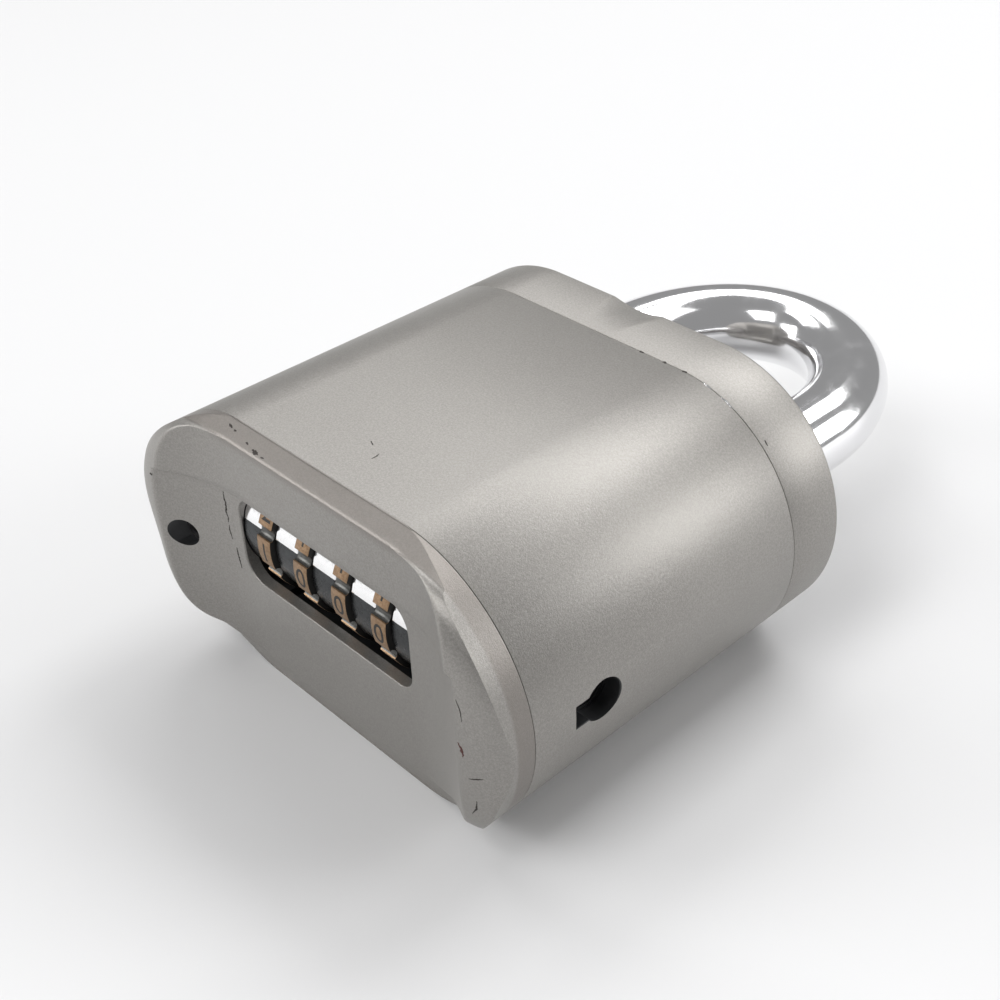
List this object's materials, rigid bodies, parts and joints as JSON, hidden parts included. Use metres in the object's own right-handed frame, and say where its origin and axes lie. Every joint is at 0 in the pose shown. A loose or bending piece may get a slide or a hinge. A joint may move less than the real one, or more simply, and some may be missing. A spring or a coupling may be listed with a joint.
{
  "type": "combination padlock",
  "caption": "Heavy combination padlock with number wheels in the end face, a chrome shackle and a side hole for the code change tool.",
  "frame": {"origin": "on the back face, under the middle of the shell between its two seams", "axes": "+X towards the side with the keyhole, +Y towards the shackle, +Z out of the front face"},
  "size_m": [0.06, 0.0907, 0.0345],
  "materials": {
    "nickel_paint": "satin speckled",
    "chrome": "polished",
    "bronze": "matt bronze",
    "hub_steel": "polished",
    "steel": "plain",
    "casting": "as cast"
  },
  "bodies": {
    "case": {"wheel_end_cap": "nickel_paint", "body_shell": "nickel_paint", "shackle_end_cap": "nickel_paint", "spindle_collar": "hub_steel", "spindle": "steel", "spindle_clip": "steel", "retaining_pin": "steel", "detent_spring": "steel", "shackle_spring": "steel", "fence_spring_1": "steel", "fence_spring_2": "steel", "case_screw": "steel", "lock_block": "casting", "dial_housing": "casting"},
    "shackle": {"shackle": "chrome"},
    "fence": {"fence_bar": "steel"},
    "toe_bolt": {"locking_bolt_toe": "steel"},
    "heel_bolt": {"locking_bolt_heel": "steel"},
    "change_rotor": {"change_rotor": "steel"},
    "wheel_1": {"number_ring_1": "bronze", "wheel_hub_1": "hub_steel"},
    "wheel_2": {"number_ring_2": "bronze", "wheel_hub_2": "hub_steel"},
    "wheel_3": {"number_ring_3": "bronze", "wheel_hub_3": "hub_steel"},
    "wheel_4": {"number_ring_4": "bronze", "wheel_hub_4": "hub_steel"}
  },
  "joints": [
    {"name": "shackle_lift", "type": "slide", "parent": "case", "child": "shackle", "axis": [0, 1, 0], "range_m": [0, 0.0155], "deforming": ["shackle_spring"]},
    {"name": "wheel_1_turn", "type": "hinge", "parent": "case", "child": "wheel_1", "pos_m": [-0.00956, -0.0131, 0.02045], "axis": [1, 0, 0], "continuous": true, "deforming": ["detent_spring"]},
    {"name": "wheel_2_turn", "type": "hinge", "parent": "case", "child": "wheel_2", "pos_m": [-0.00319, -0.0131, 0.02045], "axis": [1, 0, 0], "continuous": true},
    {"name": "wheel_3_turn", "type": "hinge", "parent": "case", "child": "wheel_3", "pos_m": [0.00319, -0.0131, 0.02045], "axis": [1, 0, 0], "continuous": true},
    {"name": "wheel_4_turn", "type": "hinge", "parent": "case", "child": "wheel_4", "pos_m": [0.00956, -0.0131, 0.02045], "axis": [1, 0, 0], "continuous": true},
    {"name": "fence_slide", "type": "slide", "parent": "case", "child": "fence", "axis": [0, 1, 0], "range_m": [0, 0.0022], "deforming": ["fence_spring_1", "fence_spring_2"]},
    {"name": "toe_bolt_slide", "type": "slide", "parent": "case", "child": "toe_bolt", "axis": [-1, 0, 0], "range_m": [0, 0.0022]},
    {"name": "heel_bolt_slide", "type": "slide", "parent": "case", "child": "heel_bolt", "axis": [1, 0, 0], "range_m": [0, 0.0022]},
    {"name": "change_turn", "type": "hinge", "parent": "case", "child": "change_rotor", "pos_m": [0.0231, -0.0103, 0.0172], "axis": [1, 0, 0], "range_deg": [0, 90]}
  ],
  "couplings": [
    {"joint": "toe_bolt_slide", "follows": "fence_slide", "ratio": 1},
    {"joint": "heel_bolt_slide", "follows": "fence_slide", "ratio": 1}
  ]
}
